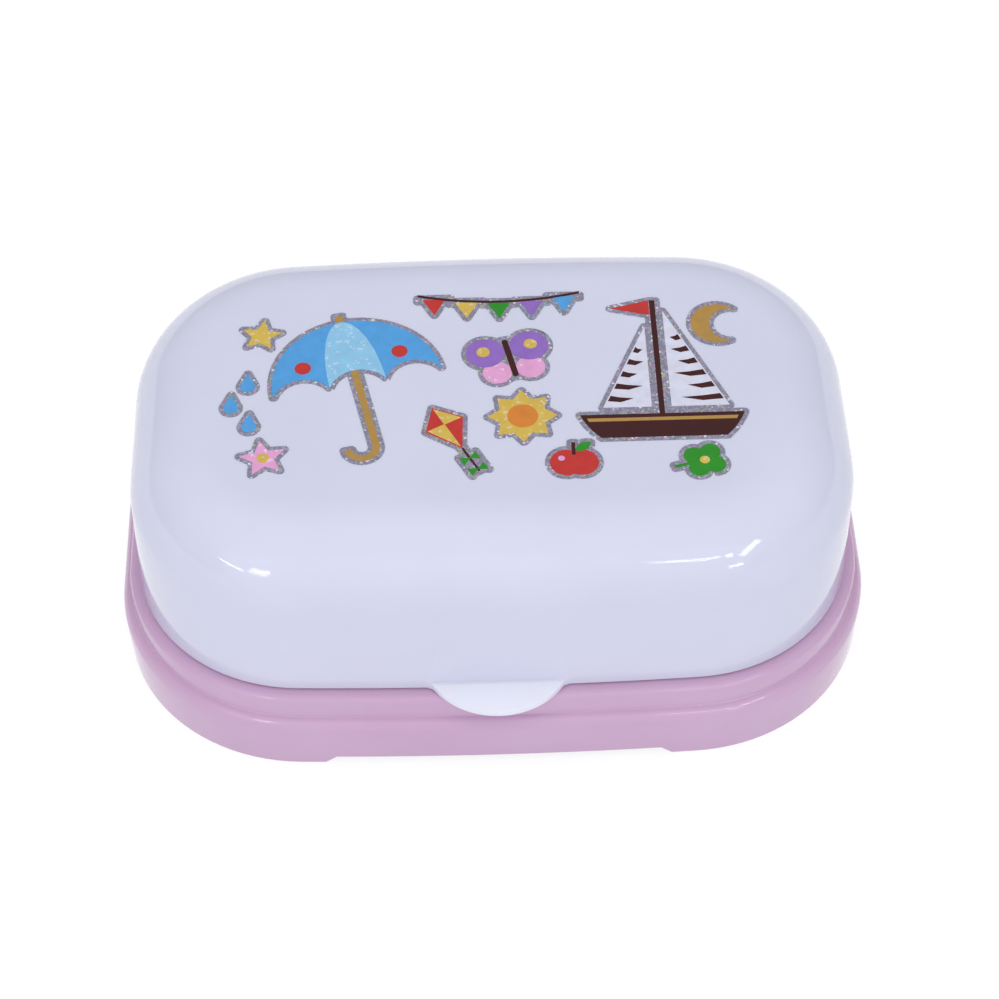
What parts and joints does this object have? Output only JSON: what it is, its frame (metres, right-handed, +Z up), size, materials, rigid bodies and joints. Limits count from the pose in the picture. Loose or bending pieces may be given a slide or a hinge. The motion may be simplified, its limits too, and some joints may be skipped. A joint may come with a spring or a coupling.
{
  "type": "travel soap box",
  "caption": "Oblong travel soap box: stepped base with low feet, lift-out slotted drain tray and domed lid that hinges at the back, with a thumb tab and printed motifs.",
  "frame": {"origin": "middle of the footprint, on the surface the box stands on", "axes": "+X to the right along the length, +Y to the hinge at the back, +Z up"},
  "size_m": [0.126, 0.0866, 0.0476],
  "materials": {
    "base_plastic": "glossy moulded polypropylene, pink",
    "tray_plastic": "satin moulded polypropylene, white",
    "lid_plastic": "glossy moulded polypropylene, white",
    "print_umbrella_film": "heat-transfer print: ink on silver glitter foil",
    "print_sailboat_film": "heat-transfer print: ink on silver glitter foil",
    "print_sun_film": "heat-transfer print: ink on silver glitter foil",
    "print_moon_film": "heat-transfer print: ink on silver glitter foil",
    "print_butterfly_film": "heat-transfer print: ink on silver glitter foil",
    "print_bunting_film": "heat-transfer print: ink on silver glitter foil",
    "print_kite_film": "heat-transfer print: ink on silver glitter foil",
    "print_apple_film": "heat-transfer print: ink on silver glitter foil",
    "print_clover_film": "heat-transfer print: ink on silver glitter foil",
    "print_star_pink_film": "heat-transfer print: ink on silver glitter foil",
    "print_star_yellow_film": "heat-transfer print: ink on silver glitter foil",
    "print_drops_film": "heat-transfer print: ink on silver glitter foil"
  },
  "bodies": {
    "base": {"base_shell": "base_plastic"},
    "tray": {"drain_tray": "tray_plastic"},
    "lid": {"lid_shell": "lid_plastic", "print_umbrella": "print_umbrella_film", "print_sailboat": "print_sailboat_film", "print_sun": "print_sun_film", "print_moon": "print_moon_film", "print_butterfly": "print_butterfly_film", "print_bunting": "print_bunting_film", "print_kite": "print_kite_film", "print_apple": "print_apple_film", "print_clover": "print_clover_film", "print_star_pink": "print_star_pink_film", "print_star_yellow": "print_star_yellow_film", "print_drops": "print_drops_film"}
  },
  "joints": [
    {"name": "lid_hinge", "type": "hinge", "parent": "base", "child": "lid", "pos_m": [0, 0.0404, 0.0184], "axis": [-1, 0, 0], "range_deg": [0, 107]},
    {"name": "tray_lift", "type": "slide", "parent": "base", "child": "tray", "axis": [0, 0, 1], "range_m": [0, 0.017]}
  ]
}
